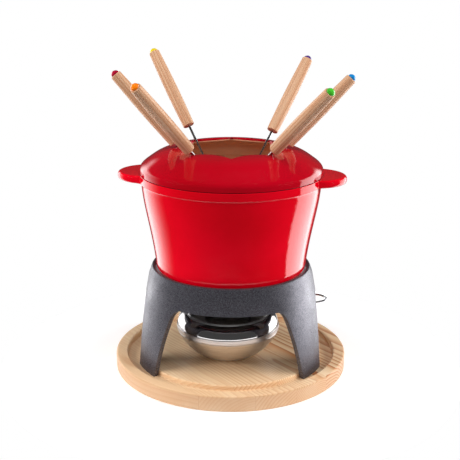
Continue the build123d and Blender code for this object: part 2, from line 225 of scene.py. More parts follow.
def arc_through(a, b, c, steps=16):
    """The circle's arc from a through b to c."""
    (ax, ay), (bx, by), (cx, cy) = a, b, c
    aa, bb, cc = ax * ax + ay * ay, bx * bx + by * by, cx * cx + cy * cy
    d = 2 * (ax * (by - cy) + bx * (cy - ay) + cx * (ay - by))
    ux = (aa * (by - cy) + bb * (cy - ay) + cc * (ay - by)) / d
    uy = (aa * (cx - bx) + bb * (ax - cx) + cc * (bx - ax)) / d
    start, end = (math.degrees(math.atan2(y - uy, x - ux)) for x, y in (a, c))
    return arc((ux, uy), math.hypot(ax - ux, ay - uy), start, end, steps)


def run(a, b, steps):
    """Points along a straight line, both ends included."""
    return [tuple(np.array(a) + (np.array(b) - np.array(a)) * k / steps) for k in range(steps + 1)]


def joined(*lines):
    """Several point lists as one, without the doubled points where they meet."""
    found = []
    for line in lines:
        for p in line:
            if not found or math.hypot(p[0] - found[-1][0], p[1] - found[-1][1]) > 1e-5:
                found.append((float(p[0]), float(p[1])))
    return found


# ---------------------------------------------------------------- meshes


def around(count=AROUND):
    """Evenly spaced azimuths for a full turn, in degrees."""
    return np.linspace(0, 360, count + 1)


def wheel(profile, turns=None):
    """The grid that a profile of (radius, z) sweeps round Z. profile may be a function of the azimuth."""
    rows = []
    for turn in around() if turns is None else turns:
        a = math.radians(turn)
        line = profile(turn) if callable(profile) else profile
        rows.append([(r * math.sin(a), -r * math.cos(a), z) for r, z in line])
    return np.array(rows)


def capped(loops):
    """Closed loops of points as one grid, with both ends drawn in to their middles."""
    loops = [np.array(loop) for loop in loops]
    ends = [np.repeat(loop.mean(0)[None], len(loop), 0) for loop in (loops[0], loops[-1])]
    grid = np.array([ends[0], *loops, ends[1]])
    return np.concatenate([grid, grid[:, :1]], 1)


def tube(path, radius, sides=10):
    """A round wire along a path of 3-D points."""
    path = np.array(path, float)
    along = np.gradient(path, axis=0)
    along /= np.linalg.norm(along, axis=1)[:, None]
    up = np.array([0, 0, 1.0])
    side = np.cross(up, along)
    side /= np.linalg.norm(side, axis=1)[:, None]
    over = np.cross(along, side)
    turns = np.linspace(0, 2 * math.pi, sides, endpoint=False)
    rings = []
    for p, s, o in zip(path, side, over):
        rings.append([p + radius * (math.cos(t) * s + math.sin(t) * o) for t in turns])
    return capped(rings)


def spun(grid, turn):
    """A grid turned about Z, by degrees, from -Y towards +X."""
    c, s = math.cos(math.radians(turn)), math.sin(math.radians(turn))
    return grid @ np.array([[c, s, 0], [-s, c, 0], [0, 0, 1]])


def welded(name, grids):
    """One smooth mesh from grids of points in millimetres, each with the number of its look."""
    points, faces, paints = [], [], []
    for grid, paint in grids:
        rows, columns, _ = grid.shape
        first = len(points)
        points.extend((grid.reshape(-1, 3) * MM).tolist())
        for corner in (first + i * columns + j for i in range(rows - 1) for j in range(columns - 1)):
            faces.append((corner, corner + columns, corner + columns + 1, corner + 1))
            paints.append(paint)
    mesh = bpy.data.meshes.new(name)
    mesh.from_pydata(points, [], faces)
    mesh.polygons.foreach_set("material_index", paints)
    bm = bmesh.new()
    bm.from_mesh(mesh)
    bmesh.ops.remove_doubles(bm, verts=bm.verts, dist=WELD)
    bmesh.ops.dissolve_degenerate(bm, edges=bm.edges, dist=SLIVER)
    bmesh.ops.recalc_face_normals(bm, faces=bm.faces)
    for face in bm.faces:
        face.smooth = True
    bm.to_mesh(mesh)
    bm.free()
    return mesh


def added(name, data):
    """A new object in the scene."""
    made = bpy.data.objects.new(name, data)
    bpy.context.scene.collection.objects.link(made)
    return made


def piece(name, grids, looks, body, stands_for, place=None, bevel=0.0, weighted=True):
    """A visible piece on a CAD body. Its attribute "own" keeps each point's place from before it is moved."""
    mesh = welded(name, grids)
    made = added(name, mesh)
    for look in looks:
        mesh.materials.append(look)
    if bevel:
        edge = made.modifiers.new("edges", "BEVEL")
        edge.width = bevel * MM
        edge.segments = 3
        edge.limit_method = "ANGLE"
        edge.angle_limit = BEVEL_FROM
    if weighted:
        made.modifiers.new("shading", "WEIGHTED_NORMAL").keep_sharp = True
    kept = mesh.attributes.new("own", "FLOAT_VECTOR", "POINT")
    flat = np.empty(len(mesh.vertices) * 3, np.float32)
    mesh.vertices.foreach_get("co", flat)
    kept.data.foreach_set("vector", flat)
    if place is not None:
        mesh.transform(place)
    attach(made, body)
    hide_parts(stands_for)


# ---------------------------------------------------------------- looks


def rgb(*values):
    """A colour given as 0 to 255 screen values, as linear light."""
    linear = []
    for share in (value / 255 for value in values):
        linear.append(share / 12.92 if share <= 0.04045 else ((share + 0.055) / 1.055) ** 2.4)
    return (*linear, 1.0)


def darker(colour, share):
    """A linear colour with its light cut to a share."""
    return (*(c * share for c in colour[:3]), 1.0)


class Nodes:
    """An emptied node tree, filled node by node."""

    def __init__(self, tree):
        self.tree = tree
        tree.nodes.clear()

    def feed(self, socket, value):
        if isinstance(value, bpy.types.NodeSocket):
            self.tree.links.new(value, socket)
        else:
            socket.default_value = value

    def node(self, kind, values, **settings):
        made = self.tree.nodes.new("ShaderNode" + kind)
        for key, value in settings.items():
            setattr(made, key, value)
        for key, value in values.items():
            self.feed(made.inputs[key], value)
        return made

    def math(self, operation, *values):
        return self.node("Math", dict(enumerate(values)), operation=operation).outputs[0]

    def vector(self, operation, *values):
        made = self.node("VectorMath", dict(enumerate(values)), operation=operation)
        return made.outputs["Value" if operation == "LENGTH" else "Vector"]

    def plus(self, a, b):
        return self.math("ADD", a, b)

    def minus(self, a, b):
        return self.math("SUBTRACT", a, b)

    def times(self, a, b):
        return self.math("MULTIPLY", a, b)

    def cycle(self, value, length):
        """How far value is through its present cycle of a length, from 0 to 1."""
        return self.math("FRACT", self.math("DIVIDE", value, length))

    def parts(self, vector):
        return self.node("SeparateXYZ", {0: vector}).outputs

    def joined(self, x, y, z):
        return self.node("CombineXYZ", {0: x, 1: y, 2: z}).outputs[0]

    def ramp(self, value, *stops):
        made = self.node("ValToRGB", {0: value})
        ramp = made.color_ramp
        while len(ramp.elements) < len(stops):
            ramp.elements.new(0.5)
        for element, (position, colour) in zip(ramp.elements, stops):
            element.position = position
            element.color = colour
        return made.outputs[0]

    def between(self, value, low, high, to_low=0.0, to_high=1.0):
        """value's range from low to high, eased to another range."""
        values = {"Value": value, "From Min": low, "From Max": high, "To Min": to_low, "To Max": to_high}
        return self.node("MapRange", values, interpolation_type="SMOOTHSTEP").outputs[0]

    def mix(self, share, a, b):
        return self.node("Mix", {0: share, 6: a, 7: b}, data_type="RGBA").outputs[2]


class Look(Nodes):
    """A procedural material. Its sizes are metres in the piece's own frame, or the object's without own."""

    def __init__(self, name, own=True):
        self.material = bpy.data.materials.new(name)
        self.material.use_nodes = True
        super().__init__(self.material.node_tree)
        self.shader = self.node("BsdfPrincipled", {})
        self.node("OutputMaterial", {0: self.shader.outputs[0]})
        if own:
            self.place = self.node("Attribute", {}, attribute_name="own").outputs["Vector"]
        else:
            self.place = self.node("TexCoord", {}).outputs["Object"]

    def set(self, **values):
        for key, value in values.items():
            self.feed(self.shader.inputs[key.replace("_", " ")], value)

    def mapped(self, scale=(1, 1, 1), turn=(0, 0, 0)):
        return self.node("Mapping", {"Vector": self.place, "Scale": scale, "Rotation": turn}).outputs[0]

    def noise(self, scale, detail=3.0, roughness=0.5, at=None, distortion=0.0):
        values = {"Vector": at or self.place, "Scale": scale, "Detail": detail, "Roughness": roughness}
        return self.node("TexNoise", {**values, "Distortion": distortion}).outputs[0]

    def bump(self, height, distance, strength=1.0):
        return self.node("Bump", {"Height": height, "Distance": distance, "Strength": strength}).outputs[0]


def pine():
    """Edge-glued pine: staves with their own tone and ring pattern, fine fibres and a half-gloss varnish."""
    look = Look("pine")
    along, across, deep = look.parts(look.mapped(turn=(0, 0, STAVES_TURN)))

    def stretched(x, y, z):
        return look.joined(look.times(along, x), look.times(across, y), look.times(deep, z))

    staves = look.plus(across, STAVE_SHIFT)
    stave = look.math("FLOOR", look.math("DIVIDE", staves, STAVE))
    dice = look.node("TexWhiteNoise", {"W": look.plus(stave, 3.7)}, noise_dimensions="1D")
    luck = look.parts(dice.outputs["Color"])
    sway_at = look.vector("ADD", stretched(7.0, 22.0, 22.0), look.joined(0.0, 0.0, look.times(stave, 5.1)))
    sway = look.noise(1.0, 2.0, 0.4, sway_at)
    middle = look.times(look.plus(stave, look.minus(look.times(luck[0], 1.8), 0.6)), STAVE)
    aside = look.minus(across, middle)
    down = look.plus(deep, look.plus(0.012, look.times(luck[1], 0.05)))
    far = look.math("SQRT", look.plus(look.times(aside, aside), look.times(down, down)))
    far = look.plus(far, look.times(look.minus(sway, 0.5), 0.011))
    ring = look.cycle(far, look.plus(0.0022, look.times(luck[1], 0.0036)))
    fibre = look.noise(1.0, 4.0, 0.6, stretched(60.0, 1500.0, 1500.0))
    tone = look.noise(1.0, 2.0, 0.5, stretched(4.0, 30.0, 30.0))
    grain = look.ramp(
        ring,
        (0.0, rgb(240, 214, 178)),
        (0.45, rgb(233, 199, 158)),
        (0.82, rgb(200, 134, 84)),
        (0.92, rgb(178, 104, 58)),
        (1.0, rgb(237, 208, 170)),
    )
    plain = look.mix(look.between(tone, 0.35, 0.7), rgb(240, 214, 178), rgb(228, 190, 148))
    colour = look.mix(look.between(luck[2], 0.1, 0.9, 0.2, 1.0), plain, grain)
    colour = look.mix(look.between(fibre, 0.42, 0.75, 0.0, 0.3), colour, rgb(208, 158, 108))
    glue = look.math("ABSOLUTE", look.minus(look.cycle(staves, STAVE), 0.5))
    colour = look.mix(look.between(glue, 0.494, 0.499, 0.0, 0.35), colour, rgb(170, 112, 66))
    out = look.vector("LENGTH", look.joined(along, across, 0.0))
    edge = look.between(out, (BOARD_R - 1.6) * MM, (BOARD_R - 0.2) * MM, 0.0, 0.5)
    colour = look.mix(edge, colour, rgb(158, 108, 70))
    height = look.plus(look.times(fibre, 0.6), look.times(ring, 0.5))
    look.set(Base_Color=colour, Roughness=look.between(fibre, 0.3, 0.7, 0.42, 0.56))
    look.set(Normal=look.bump(height, 0.0001, 0.4), Specular_IOR_Level=0.5)
    look.set(Coat_Weight=0.25, Coat_Roughness=0.35)
    return look.material


def beech():
    """Turned beech: grain along the grip, faint rings and the short dark flecks of its rays."""
    look = Look("beech")
    x, y, z = look.parts(look.place)
    sway = look.noise(1.0, 2.0, 0.5, look.mapped((90, 90, 9)))
    far = look.plus(look.plus(look.times(x, 0.9), look.times(y, 0.35)), look.times(sway, 0.0016))
    streak = look.noise(1.0, 4.0, 0.6, look.mapped((700, 700, 14)))
    fleck = look.noise(1.0, 1.0, 0.3, look.mapped((1500, 1500, 70)))
    colour = look.ramp(
        look.cycle(far, 0.0028),
        (0.0, rgb(208, 170, 138)),
        (0.7, rgb(200, 156, 122)),
        (0.93, rgb(180, 128, 92)),
        (1.0, rgb(206, 166, 134)),
    )
    colour = look.mix(look.between(streak, 0.4, 0.7, 0.0, 0.6), colour, rgb(172, 116, 82))
    colour = look.mix(look.between(fleck, 0.62, 0.85, 0.0, 0.2), colour, rgb(150, 98, 70))
    # The grip's lower end turns darker and redder: partly its end grain, partly a painted reflection of the
    # red enamel beside it.
    end = look.between(z, (GRIP_FROM + 0.1) * MM, (GRIP_FROM + 1.2) * MM, 0.55, 0.0)
    colour = look.mix(end, colour, rgb(150, 72, 48))
    look.set(Base_Color=colour, Roughness=look.between(streak, 0.3, 0.7, 0.38, 0.55))
    look.set(Normal=look.bump(streak, 0.00003, 0.5), Specular_IOR_Level=0.45)
    return look.material


def enamel(name, deep, bright, specks, rough=0.07):
    """Vitreous enamel over cast iron: a deep glaze, faintly uneven from the casting under it."""
    look = Look(name)
    colour = look.mix(look.between(look.noise(14.0, 3.0, 0.5), 0.3, 0.7), deep, bright)
    colour = look.mix(look.between(look.noise(1300.0, 1.0, 0.3), 0.7, 0.8, 0.0, 0.3), colour, specks)
    gloss = look.between(look.noise(45.0, 2.0, 0.5), 0.3, 0.7, rough * 0.8, rough * 1.4)
    peel = look.bump(look.noise(170.0, 2.0, 0.4), 0.00025, 0.25)
    look.set(Base_Color=colour, Roughness=gloss, Normal=peel, Specular_IOR_Level=0.42)
    return look.material


def cast_iron(name, dark, light, rough, grain=0.5):
    """Cast iron under fine matt paint: a sandy grain and soft patches of sheen."""
    look = Look(name)
    sand = look.noise(1700.0, 2.0, 0.55)
    lump = look.noise(120.0, 3.0, 0.5)
    colour = look.mix(look.between(sand, 0.3, 0.72), dark, light)
    height = look.plus(look.times(sand, 0.35), look.times(lump, 0.5))
    gloss = look.between(look.noise(60.0, 3.0, 0.5), 0.3, 0.7, rough - 0.05, rough + 0.06)
    look.set(Base_Color=colour, Roughness=gloss, Metallic=0.7)
    look.set(Normal=look.bump(height, 0.0004, grain), Specular_IOR_Level=0.8)
    return look.material


def steel(name, tint, rough, lines=0.0, stretch=None, smear=0.0, own=True, metal=1.0):
    """Stainless steel. Its polishing lines run round the axis, or as stretch scales their noise."""
    look = Look(name, own)
    if stretch:
        at = look.mapped(stretch)
    else:
        x, y, z = look.parts(look.place)
        out = look.vector("LENGTH", look.joined(x, y, 0.0))
        turn = look.times(look.math("ARCTAN2", x, y), 1.5)
        at = look.joined(look.times(out, 2600.0), look.times(z, 2600.0), turn)
    brush = look.noise(1.0, 3.0, 0.6, at)
    smudge = look.noise(38.0, 3.0, 0.55)
    colour = look.mix(look.between(brush, 0.3, 0.7, 0.0, lines), tint, darker(tint, 0.62))
    polish = look.between(brush, 0.3, 0.7, rough, rough * 1.35)
    gloss = look.plus(polish, look.between(smudge, 0.45, 0.75, 0.0, smear))
    look.set(Base_Color=colour, Metallic=metal, Roughness=gloss, Normal=look.bump(brush, 0.00002, lines))
    return look.material


def plastic(name, colour):
    """A moulded gloss bead, a little unevenly coloured."""
    look = Look(name)
    cloud = look.noise(260.0, 2.0, 0.5)
    gloss = look.between(look.noise(900.0, 2.0, 0.5), 0.3, 0.7, 0.12, 0.24)
    colour = look.mix(look.between(cloud, 0.3, 0.7), darker(colour, 0.72), colour)
    look.set(Base_Color=colour, Roughness=gloss)
    look.set(Normal=look.bump(cloud, 0.0001, 0.3), Coat_Weight=0.35, Coat_Roughness=0.08)
    return look.material


def wadding():
    """Pressed mineral wadding: pale, matted and slightly scorched in the middle."""
    look = Look("wadding")
    tuft = look.noise(420.0, 5.0, 0.7, distortion=1.2)
    x, y, _ = look.parts(look.place)
    out = look.vector("LENGTH", look.joined(x, y, 0.0))
    colour = look.mix(look.between(tuft, 0.3, 0.7), rgb(196, 190, 176), rgb(236, 232, 222))
    colour = look.mix(look.between(out, 0.004, 0.022, 0.45, 0.0), colour, rgb(150, 132, 110))
    look.set(Base_Color=colour, Roughness=0.95, Normal=look.bump(tuft, 0.0008, 0.9), Sheen_Weight=0.3)
    return look.material


# ---------------------------------------------------------------- pieces


def board(look):
    """A round board with a ring groove for the stand's feet."""
    edges = [
        (BOARD_R - 6, 0),
        (BOARD_R, 0),
        (BOARD_R, BOARD_H),
        (GROOVE[1], BOARD_H),
        (GROOVE[1], GROOVE_FLOOR),
        (GROOVE[0], GROOVE_FLOOR),
        (GROOVE[0], DISC_TOP),
        (GROOVE[0] - 6, DISC_TOP),
    ]
    outline = joined(
        run((0, 0), edges[0], 8),
        rounded(edges, [2.0, 2.0, 1.5, 0.6, 0.6, 1.5]),
        run(edges[-1], (0, DISC_TOP), 8),
    )
    piece("board_wood", [(wheel(outline, around(180)), 0)], [look], "board", "serving_board")


def stand(look):
    """A ring on three legs: half an arch, mirrored and turned, under a lip, with a lug inside each leg."""
    outer = spline(STAND_OUTER, 16)
    slope = np.array(outer[-1]) - np.array(outer[-2])
    heights = [z for r, z in outer]
    radii = [r for r, z in outer]

    def reach(inside, z):
        return np.interp(z, heights, radii) - (STAND_WALL if inside else 0)

    def wall(inside, turn, z):
        r = reach(inside, z)
        return r * math.sin(math.radians(turn)), -r * math.cos(math.radians(turn)), z

    def edge_turn(inside, across, z):
        return EDGE_AZIMUTH + math.degrees(math.asin(across / reach(inside, z)))

    edge = joined(spline(ARCH_CORNER, 7, (1, 0), (0.24, -1)), spline(ARCH_LEG, 6))
    edge_heights = [z for across, z in edge]
    # Rows of the far side: along the arch's flat top, round its corner, and down its leg.
    flat, bend, leg = 6, 7, len(edge) - 8
    top_turn = edge_turn(False, *edge[0])
    far = (
        [(top_turn * k / flat, SHOULDER_Z) for k in range(flat + 1)]
        + [(top_turn + (LEG_MIDDLE - top_turn) * k / bend, SHOULDER_Z) for k in range(1, bend + 1)]
        + [(LEG_MIDDLE, SHOULDER_Z + (GROOVE_FLOOR - SHOULDER_Z) * k / leg) for k in range(1, leg + 1)]
    )
    shares = [0, 0.13, 0.32, 0.55, 0.78, 1.0]
    sheets = []
    for inside in (False, True):
        turns = [edge_turn(inside, across, z) for across, z in edge]
        near = [(turns[0] * k / flat, ARCH_TOP) for k in range(flat)] + list(zip(turns, edge_heights))
        rows = []
        for (turn, z), (far_turn, far_z) in zip(near, far):
            rows.append([wall(inside, turn + (far_turn - turn) * s, z + (far_z - z) * s) for s in shares])
        sheets.append(np.array(rows))
    lip = joined(
        spline([STAND_OUTER[-1], (85.6, 110.0), (83.4, STAND_TOP)], 5, slope, (-1, 0)),
        rounded([(83.4, STAND_TOP), (81.0, STAND_TOP), (81.0, 108.0), (82.7, SHOULDER_Z)], [1.8, 4.0]),
    )
    rim = wheel(lip, [turn for turn, z in far[: flat + bend + 1]])
    cut = np.stack([sheet[:, 0] for sheet in sheets], 1)
    foot = np.stack([sheet[-1] for sheet in sheets], 1)
    mid_r, mid_z = LUG_MIDDLE
    outline = rounded(LUG_OUTLINE, [1.0, 0.1, 0.1, 2.0])
    lug = []
    for y, size in LUG_SECTIONS:
        lug.append([(mid_r + (r - mid_r) * size, y, mid_z + (z - mid_z) * size) for r, z in outline])
    lug = capped(lug)
    grids = []
    for third in THIRDS:
        for side in (1, -1):
            for grid in (*sheets, rim, cut, foot):
                grids.append((spun(grid * np.array([side, 1, 1]), third + STAND_TURN), 0))
        # The lug is drawn along +X, which is azimuth 90.
        grids.append((spun(lug, third + LEG_MIDDLE - 90 + STAND_TURN), 0))
    piece("stand_casting", grids, [look], "stand_body", "stand", bevel=EDGE_ROUND)


def tab_reach(turn):
    """How far the pot's rim reaches at an azimuth: its plain radius, or further along a handle."""
    reach = 0.0
    for middle in TAB_TURNS:
        off = math.radians((turn - 90 - middle + 180) % 360 - 180)
        square = (math.cos(off) / TAB_AXES[0]) ** 2 + (math.sin(off) / TAB_AXES[1]) ** 2
        linear = -2 * TAB_CENTRE * math.cos(off) / TAB_AXES[0] ** 2
        root = linear**2 - 4 * square * ((TAB_CENTRE / TAB_AXES[0]) ** 2 - 1)
        if root > 0 and math.cos(off) > 0:
            reach = max(reach, (-linear + math.sqrt(root)) / (2 * square))
    over = (max(reach, RIM_R - 6) - RIM_R) / TAB_FLARE
    return RIM_R + TAB_FLARE * (over if over > 30 else math.log1p(math.exp(over)))


def pot(red, brown, iron):
    """The pot, red outside, brown inside, with bare iron under its base and on the tongue of its rim."""
    waist, bore_low = POT_BASE + POT_ROUND, POT_FLOOR + BORE_ROUND
    bore = [(BORE_R, NECK[1]), (82.8, 160.7), (POT_FLAT_R + BORE_ROUND, bore_low)]
    outside = joined(
        arc((POT_FLAT_R, waist), POT_ROUND, -90, 0, 10),
        spline([(POT_FLAT_R + POT_ROUND, waist), (87.3, 160.7), NECK], 14, (0.12, 1), (0.06, 1)),
    )
    inside = joined(
        rounded([(91.0, RIM_Z), (BORE_R, RIM_Z), bore[0]], 0.7),
        spline(bore, 14, (-0.03, -1), (-0.12, -1)),
        arc((POT_FLAT_R, bore_low), BORE_ROUND, 0, -90, 8),
        run((POT_FLAT_R, POT_FLOOR), (0, POT_FLOOR), 5),
    )
    tongue = rounded(
        [(95.0, RIM_Z), (93.2, RIM_Z), (93.2, RIM_Z + 1.8), (91.0, RIM_Z + 1.8), (91.0, RIM_Z)],
        [0.2, 0.4, 0.4],
        3,
    )

    def rim(turn):
        """The rim's section, whose edges grow rounder as it runs out into a handle."""
        reach = tab_reach(turn)
        grown = min(1.0, (reach - RIM_R) / 5)
        under, over = 0.6 + 2.6 * grown, 0.5 + 2.7 * grown
        low, high = 204.5 + 0.1 * grown, RIM_Z - 0.4 * grown
        return (
            [NECK, (94.35, 203.9)]
            + run((94.7, low), (reach - under, low), 7)
            + arc((reach - under, low + under), under, -90, 0, 5)[1:]
            + arc((reach - over, high - over), over, 0, 90, 5)
            + run((reach - over, high), (94.4, high), 7)[1:]
            + [(94.2, RIM_Z), (93.8, RIM_Z)]
        )

    # Azimuths every 3 degrees, and every half degree across the handles.
    turns = {float(turn) for turn in range(0, 361, 3)}
    for middle in TAB_TURNS:
        turns |= {round((90 + middle + k * 0.5) % 360, 3) for k in range(-48, 49)}
    turns = sorted(turns)
    # The outside's first points, round the base's corner, are bare iron.
    bare = 7
    grids = [
        (wheel(run((0, POT_BASE), (POT_FLAT_R, POT_BASE), 4), turns), 2),
        (wheel(outside[: bare + 1], turns), 2),
        (wheel(outside[bare:], turns), 0),
        (wheel(rim, turns), 0),
        (wheel(joined([(93.8, RIM_Z)], tongue[1:]), turns), 2),
        (wheel(inside, turns), 1),
    ]
    piece("pot_casting", grids, [red, brown, iron], "pot_body", "pot")


def mouth(turn):
    """How far the star mouth's edge is from the axis at an azimuth."""
    half = NOTCH_STEP / 2
    off = abs((turn + half) % NOTCH_STEP - half)
    centre, radius = MOUTH_LOBE
    phi = math.radians(half - off)
    edge = centre * math.cos(phi) - math.sqrt(radius**2 - (centre * math.sin(phi)) ** 2)
    middle, tip = NOTCH_TIP
    aside = middle * math.sin(math.radians(off))
    if aside < tip:
        edge = min(edge, middle * math.cos(math.radians(off)) + math.sqrt(tip**2 - aside**2))
    return edge


def ring(red, brown, iron):
    """The domed ring, red above and brown below, with bare iron where it sits on the pot's rim and round its
    lower outer edge, where the iron is also painted shade for the dark seam.
    """
    dome = spline(DOME, 12, (-0.1, 1), (-1, 0.05))
    vault = spline(VAULT, 12, (-0.1, 1), (-1, 0.05))

    def span(curve, stop, steps):
        """The curve from its first point to the radius where it stops, evenly spaced."""
        pts = np.array(curve)
        length = np.concatenate([[0], np.cumsum(np.hypot(*np.diff(pts, axis=0).T))])
        stops = np.linspace(0, np.interp(-stop, -pts[:, 0], length), steps + 1)
        return [(np.interp(s, length, pts[:, 0]), np.interp(s, length, pts[:, 1])) for s in stops]

    def section(turn):
        start = mouth(turn) + LIP_ROUND
        over, under = span(dome, start, 26), span(vault, start, 20)
        lip = arc((start, over[-1][1] - LIP_ROUND), LIP_ROUND, 90, 180, 6)[1:]
        tuck = arc((start, under[-1][1] + LIP_ROUND), LIP_ROUND, 180, 270, 5)
        return over, lip, tuck, under[::-1][1:]

    def outer_side(turn):
        over, lip, tuck, _ = section(turn)
        return over + lip + tuck[:1]

    def inner_side(turn):
        _, _, tuck, under = section(turn)
        return tuck + under

    base = rounded([VAULT[0], (VAULT[0][0], RIM_Z), (88.5, RIM_Z)], 0.8)
    roof = RIM_Z + 2.05
    groove = rounded(
        [(88.5, RIM_Z), (90.75, RIM_Z), (90.75, roof), (93.45, roof), (93.45, RIM_Z), (94.2, RIM_Z)],
        [0.2, 0.3, 0.3, 0.2],
        2,
    )
    edge = rounded([(94.2, RIM_Z), (DOME[0][0], RIM_Z), DOME[0]], 1.1)
    # Azimuths off each notch's middle, closest at the notch.
    offs = [0, 0.4, 0.8, 1.15, 1.45, 1.8, 2.3, 3.0, 4.2, 6.0, 8.2, 10.8, 13.6, 16.6, 19.6, NOTCH_STEP / 2]
    turns = {round(k * NOTCH_STEP + side * off, 3) for k in range(9) for off in offs for side in (1, -1)}
    turns = sorted(turn for turn in turns if 0 <= turn <= 360)
    grids = [
        (wheel(outer_side, turns), 0),
        (wheel(inner_side, turns), 1),
        (wheel(base, turns), 1),
        # The lower edge's round, seen from outside, is bare iron: partly the unglazed seat, partly painted
        # shade, a dark line along the seam with the pot.
        (wheel(joined(groove, edge[:-1]), turns), 2),
        (wheel(edge[-2:], turns), 0),
    ]
    piece("ring_casting", grids, [red, brown, iron], "ring_body", "fork_ring")


def burner_bowl(look):
    """The lower bowl, of one sheet, with a band folded round the dome's skirt."""
    flat, belly, brim = (28.5, DISC_TOP), (44.5, 26.5), (54.7, 42.4)
    floor = (flat[0] - SHEET, DISC_TOP + SHEET)
    fold = (54.4, 44.2)
    band = [brim, (54.35, 42.9), (55.2, 43.6), (55.2, 48.4), (54.4, 48.4), (54.4, 45.4)]
    outside = joined(
        run((0, DISC_TOP), (26, DISC_TOP), 3),
        rounded([(26, DISC_TOP), flat, (30.6, 15.5)], 2.0),
        arc_through(flat, belly, brim, 22)[2:],
        rounded(band, [0.3, 0.3, 0.7, 0.35]),
    )
    inside = joined(
        [band[-1], fold],
        arc_through(fold, (belly[0] - SHEET, belly[1] + SHEET), floor, 18),
        run(floor, (0, DISC_TOP + SHEET), 3),
    )
    grid = wheel(joined(outside, inside))
    piece("burner_bowl_pressing", [(grid, 0)], [look], "burner", "burner_bowl", BURNER_PLACE)


def burner_dome(polished, bead_highlight_steel):
    """The domed cover, of one sheet, with a beaded opening and a slot for the damper's handle."""
    wide, tall = SKIRT_R - COLLAR_R, COVER_HIGH - COVER_LOW
    centre = (COLLAR_R, COVER_LOW)
    over = joined([(SKIRT_R, 45.0), (SKIRT_R, 46.7)], arc(centre, (wide, tall), 0, 74, 22))
    crown = joined(over[-1:], [(COLLAR_R + r, COVER_HIGH + z) for r, z in COLLAR_BEADS])
    under = joined(
        [crown[-1], (COLLAR_R + 0.3, COVER_HIGH - 1.7)],
        arc(centre, (wide - SHEET, tall - SHEET), 74, 0, 22),
        [(SKIRT_R - SHEET, 46.7), (SKIRT_R - SHEET, 45.0), (SKIRT_R, 45.0)],
    )
    first, last = SLOT_AZIMUTH - SLOT_HALF, SLOT_AZIMUTH + SLOT_HALF
    open_turns = np.linspace(last, first + 360, 120)
    slot_turns = np.linspace(first, last, 20)

    def slot_rows(line):
        """The first and last of the line's points beside the slot."""
        beside = [i for i, (r, z) in enumerate(line) if SLOT_Z[0] <= z <= SLOT_Z[1] and r > COLLAR_R + 2]
        return beside[0], beside[-1]

    over_from, over_to = slot_rows(over)
    under_from, under_to = slot_rows(under)
    shell_over, shell_under = wheel(over, slot_turns), wheel(under, slot_turns)
    # The beads round the opening take the part-metal steel, whose lamp-lit grey is a painted highlight.
    grids = [
        (wheel(over, open_turns), 0),
        (wheel(crown, np.concatenate([slot_turns, open_turns[1:]])), 1),
        (wheel(under, open_turns), 0),
        (shell_over[:, : over_from + 1], 0),
        (shell_over[:, over_to:], 0),
        (shell_under[:, : under_from + 1], 0),
        (shell_under[:, under_to:], 0),
        (np.stack([shell_over[:, over_from], shell_under[:, under_to]], 1), 0),
        (np.stack([shell_over[:, over_to], shell_under[:, under_from]], 1), 0),
    ]
    for end in (0, -1):
        ribs = shell_over[end, over_from : over_to + 1], shell_under[end, under_from : under_to + 1][::-1]
        count = min(len(rib) for rib in ribs)
        picked = [rib[np.linspace(0, len(rib) - 1, count).round().astype(int)] for rib in ribs]
        grids.append((np.stack(picked, 1), 0))
    piece("burner_dome", grids, [polished, bead_highlight_steel], "burner", "burner_cover", BURNER_PLACE)


def gauze_weave(look):
    """Two crossed sets of waved wires over the pad."""
    seed = random.Random(11)
    reach, pitch, thick = 25.9, 1.3, 0.17
    wires = []
    for number, lane in enumerate(np.arange(-19, 20) * pitch):
        half = math.sqrt(reach**2 - lane**2)
        count = max(8, int(half * 2 / pitch * 2))
        along = np.linspace(-half, half, count)
        drift = np.full(count, lane)
        swing = np.sin((along / pitch + number) * math.pi + math.pi / 2) * thick * 0.95
        wave = swing + GAUZE_Z + seed.uniform(-0.02, 0.02)
        wires.append((tube(np.stack([along, drift, wave], 1), thick, 5), 0))
        wires.append((tube(np.stack([drift, along, 2 * GAUZE_Z - wave], 1), thick, 5), 0))
    piece("gauze_weave", wires, [look], "burner", "gauze_disc", BURNER_PLACE, weighted=False)


def pad_wadding(look):
    """The pad under the gauze, with an uneven top."""
    out, low, top = PAD
    side = rounded([(out - 1.4, low), (out, low), (out, top), (out - 1.4, top)], 1.0)
    outline = joined(run((0, low), (out - 1.4, low), 3), side, run((out - 1.4, top), (0, top), 20))
    grid = wheel(outline, around(72))
    for point in grid.reshape(-1, 3):
        if point[2] > top - 2:
            point[2] -= 0.35 + 0.3 * noise.noise(Vector(point) * 0.6)
    piece("pad_wadding", [(grid, 0)], [look], "burner", "absorbent_pad", BURNER_PLACE)


def damper_wire(look):
    """The handle, one wire bent to a long loop."""
    side = [(41.0, 6.5), (60.0, 6.5), (80.0, 11.3), (127.0, 11.3)]
    path = rounded(side + [(x, -y) for x, y in reversed(side)], [18.0, 18.0, 11.2, 11.2, 18.0, 18.0], 12)
    grid = spun(tube([(x, y, WIRE_Z) for x, y in joined(path)], WIRE_R, 12), SLOT_AZIMUTH - 90)
    piece("damper_wire", [(grid, 0)], [look], "damper", "damper_handle", BURNER_PLACE)


def fork_place(azimuth, tilt, lean, reach):
    """Where a fork's own frame is: origin at its prong tips, Z up its shaft."""
    notch, heading, slope = math.radians(azimuth), math.radians(azimuth + lean), math.radians(tilt)
    flat = math.sin(slope)
    along = Vector((flat * math.sin(heading), -flat * math.cos(heading), math.cos(slope)))
    across = Vector((math.cos(heading), math.sin(heading), 0))
    rest = Vector((REST_POINT[0] * math.sin(notch), -REST_POINT[0] * math.cos(notch), REST_POINT[1]))
    side = across.cross(along)
    turn = Matrix((side, along.cross(side), along)).transposed().to_4x4()
    return Matrix.Translation((rest - along * reach) * MM) @ turn


